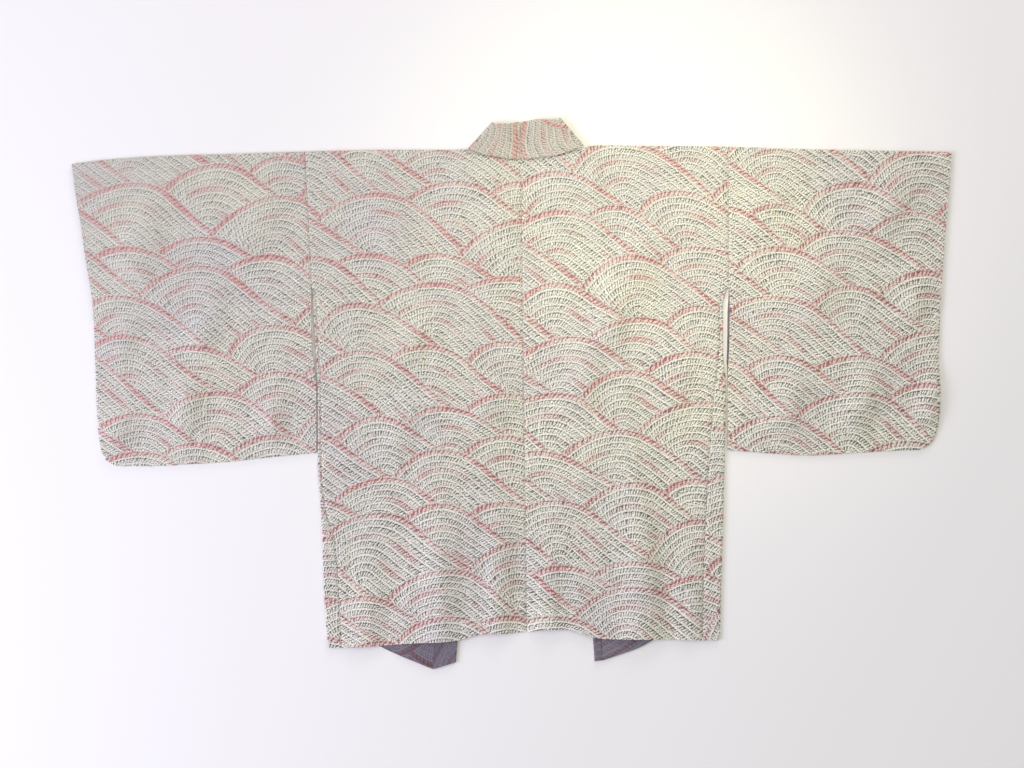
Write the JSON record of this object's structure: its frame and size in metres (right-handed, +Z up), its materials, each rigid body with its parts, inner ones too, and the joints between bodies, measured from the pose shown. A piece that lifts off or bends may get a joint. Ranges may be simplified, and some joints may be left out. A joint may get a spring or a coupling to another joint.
{
  "type": "haori jacket",
  "caption": "Short kimono jacket laid flat with its back up: body panels, square sleeves, side gussets and turned collar band, each a thin closed wall of cloth.",
  "frame": {"origin": "centre of the jacket's outline on the surface that it lies on", "axes": "+X across from the left sleeve to the right sleeve as laid, +Y from the hem to the collar, +Z up from the surface"},
  "size_m": [1.318, 0.8262, 0.0132],
  "materials": {
    "body_left": "puckered stitched silk, ivory with rose wave crests",
    "body_right": "puckered stitched silk, ivory with rose wave crests",
    "sleeve_left": "puckered stitched silk, ivory with rose wave crests",
    "sleeve_right": "puckered stitched silk, ivory with rose wave crests",
    "collar_left": "puckered stitched silk, rose stripes on ivory",
    "collar_right": "puckered stitched silk, rose stripes on ivory",
    "gusset_left": "puckered stitched silk, rose bands on ivory",
    "gusset_right": "puckered stitched silk, rose bands on ivory"
  },
  "bodies": {
    "root": {"body_left": "body_left", "body_right": "body_right", "sleeve_left": "sleeve_left", "sleeve_right": "sleeve_right", "collar_left": "collar_left", "collar_right": "collar_right", "gusset_left": "gusset_left", "gusset_right": "gusset_right"}
  },
  "joints": []
}
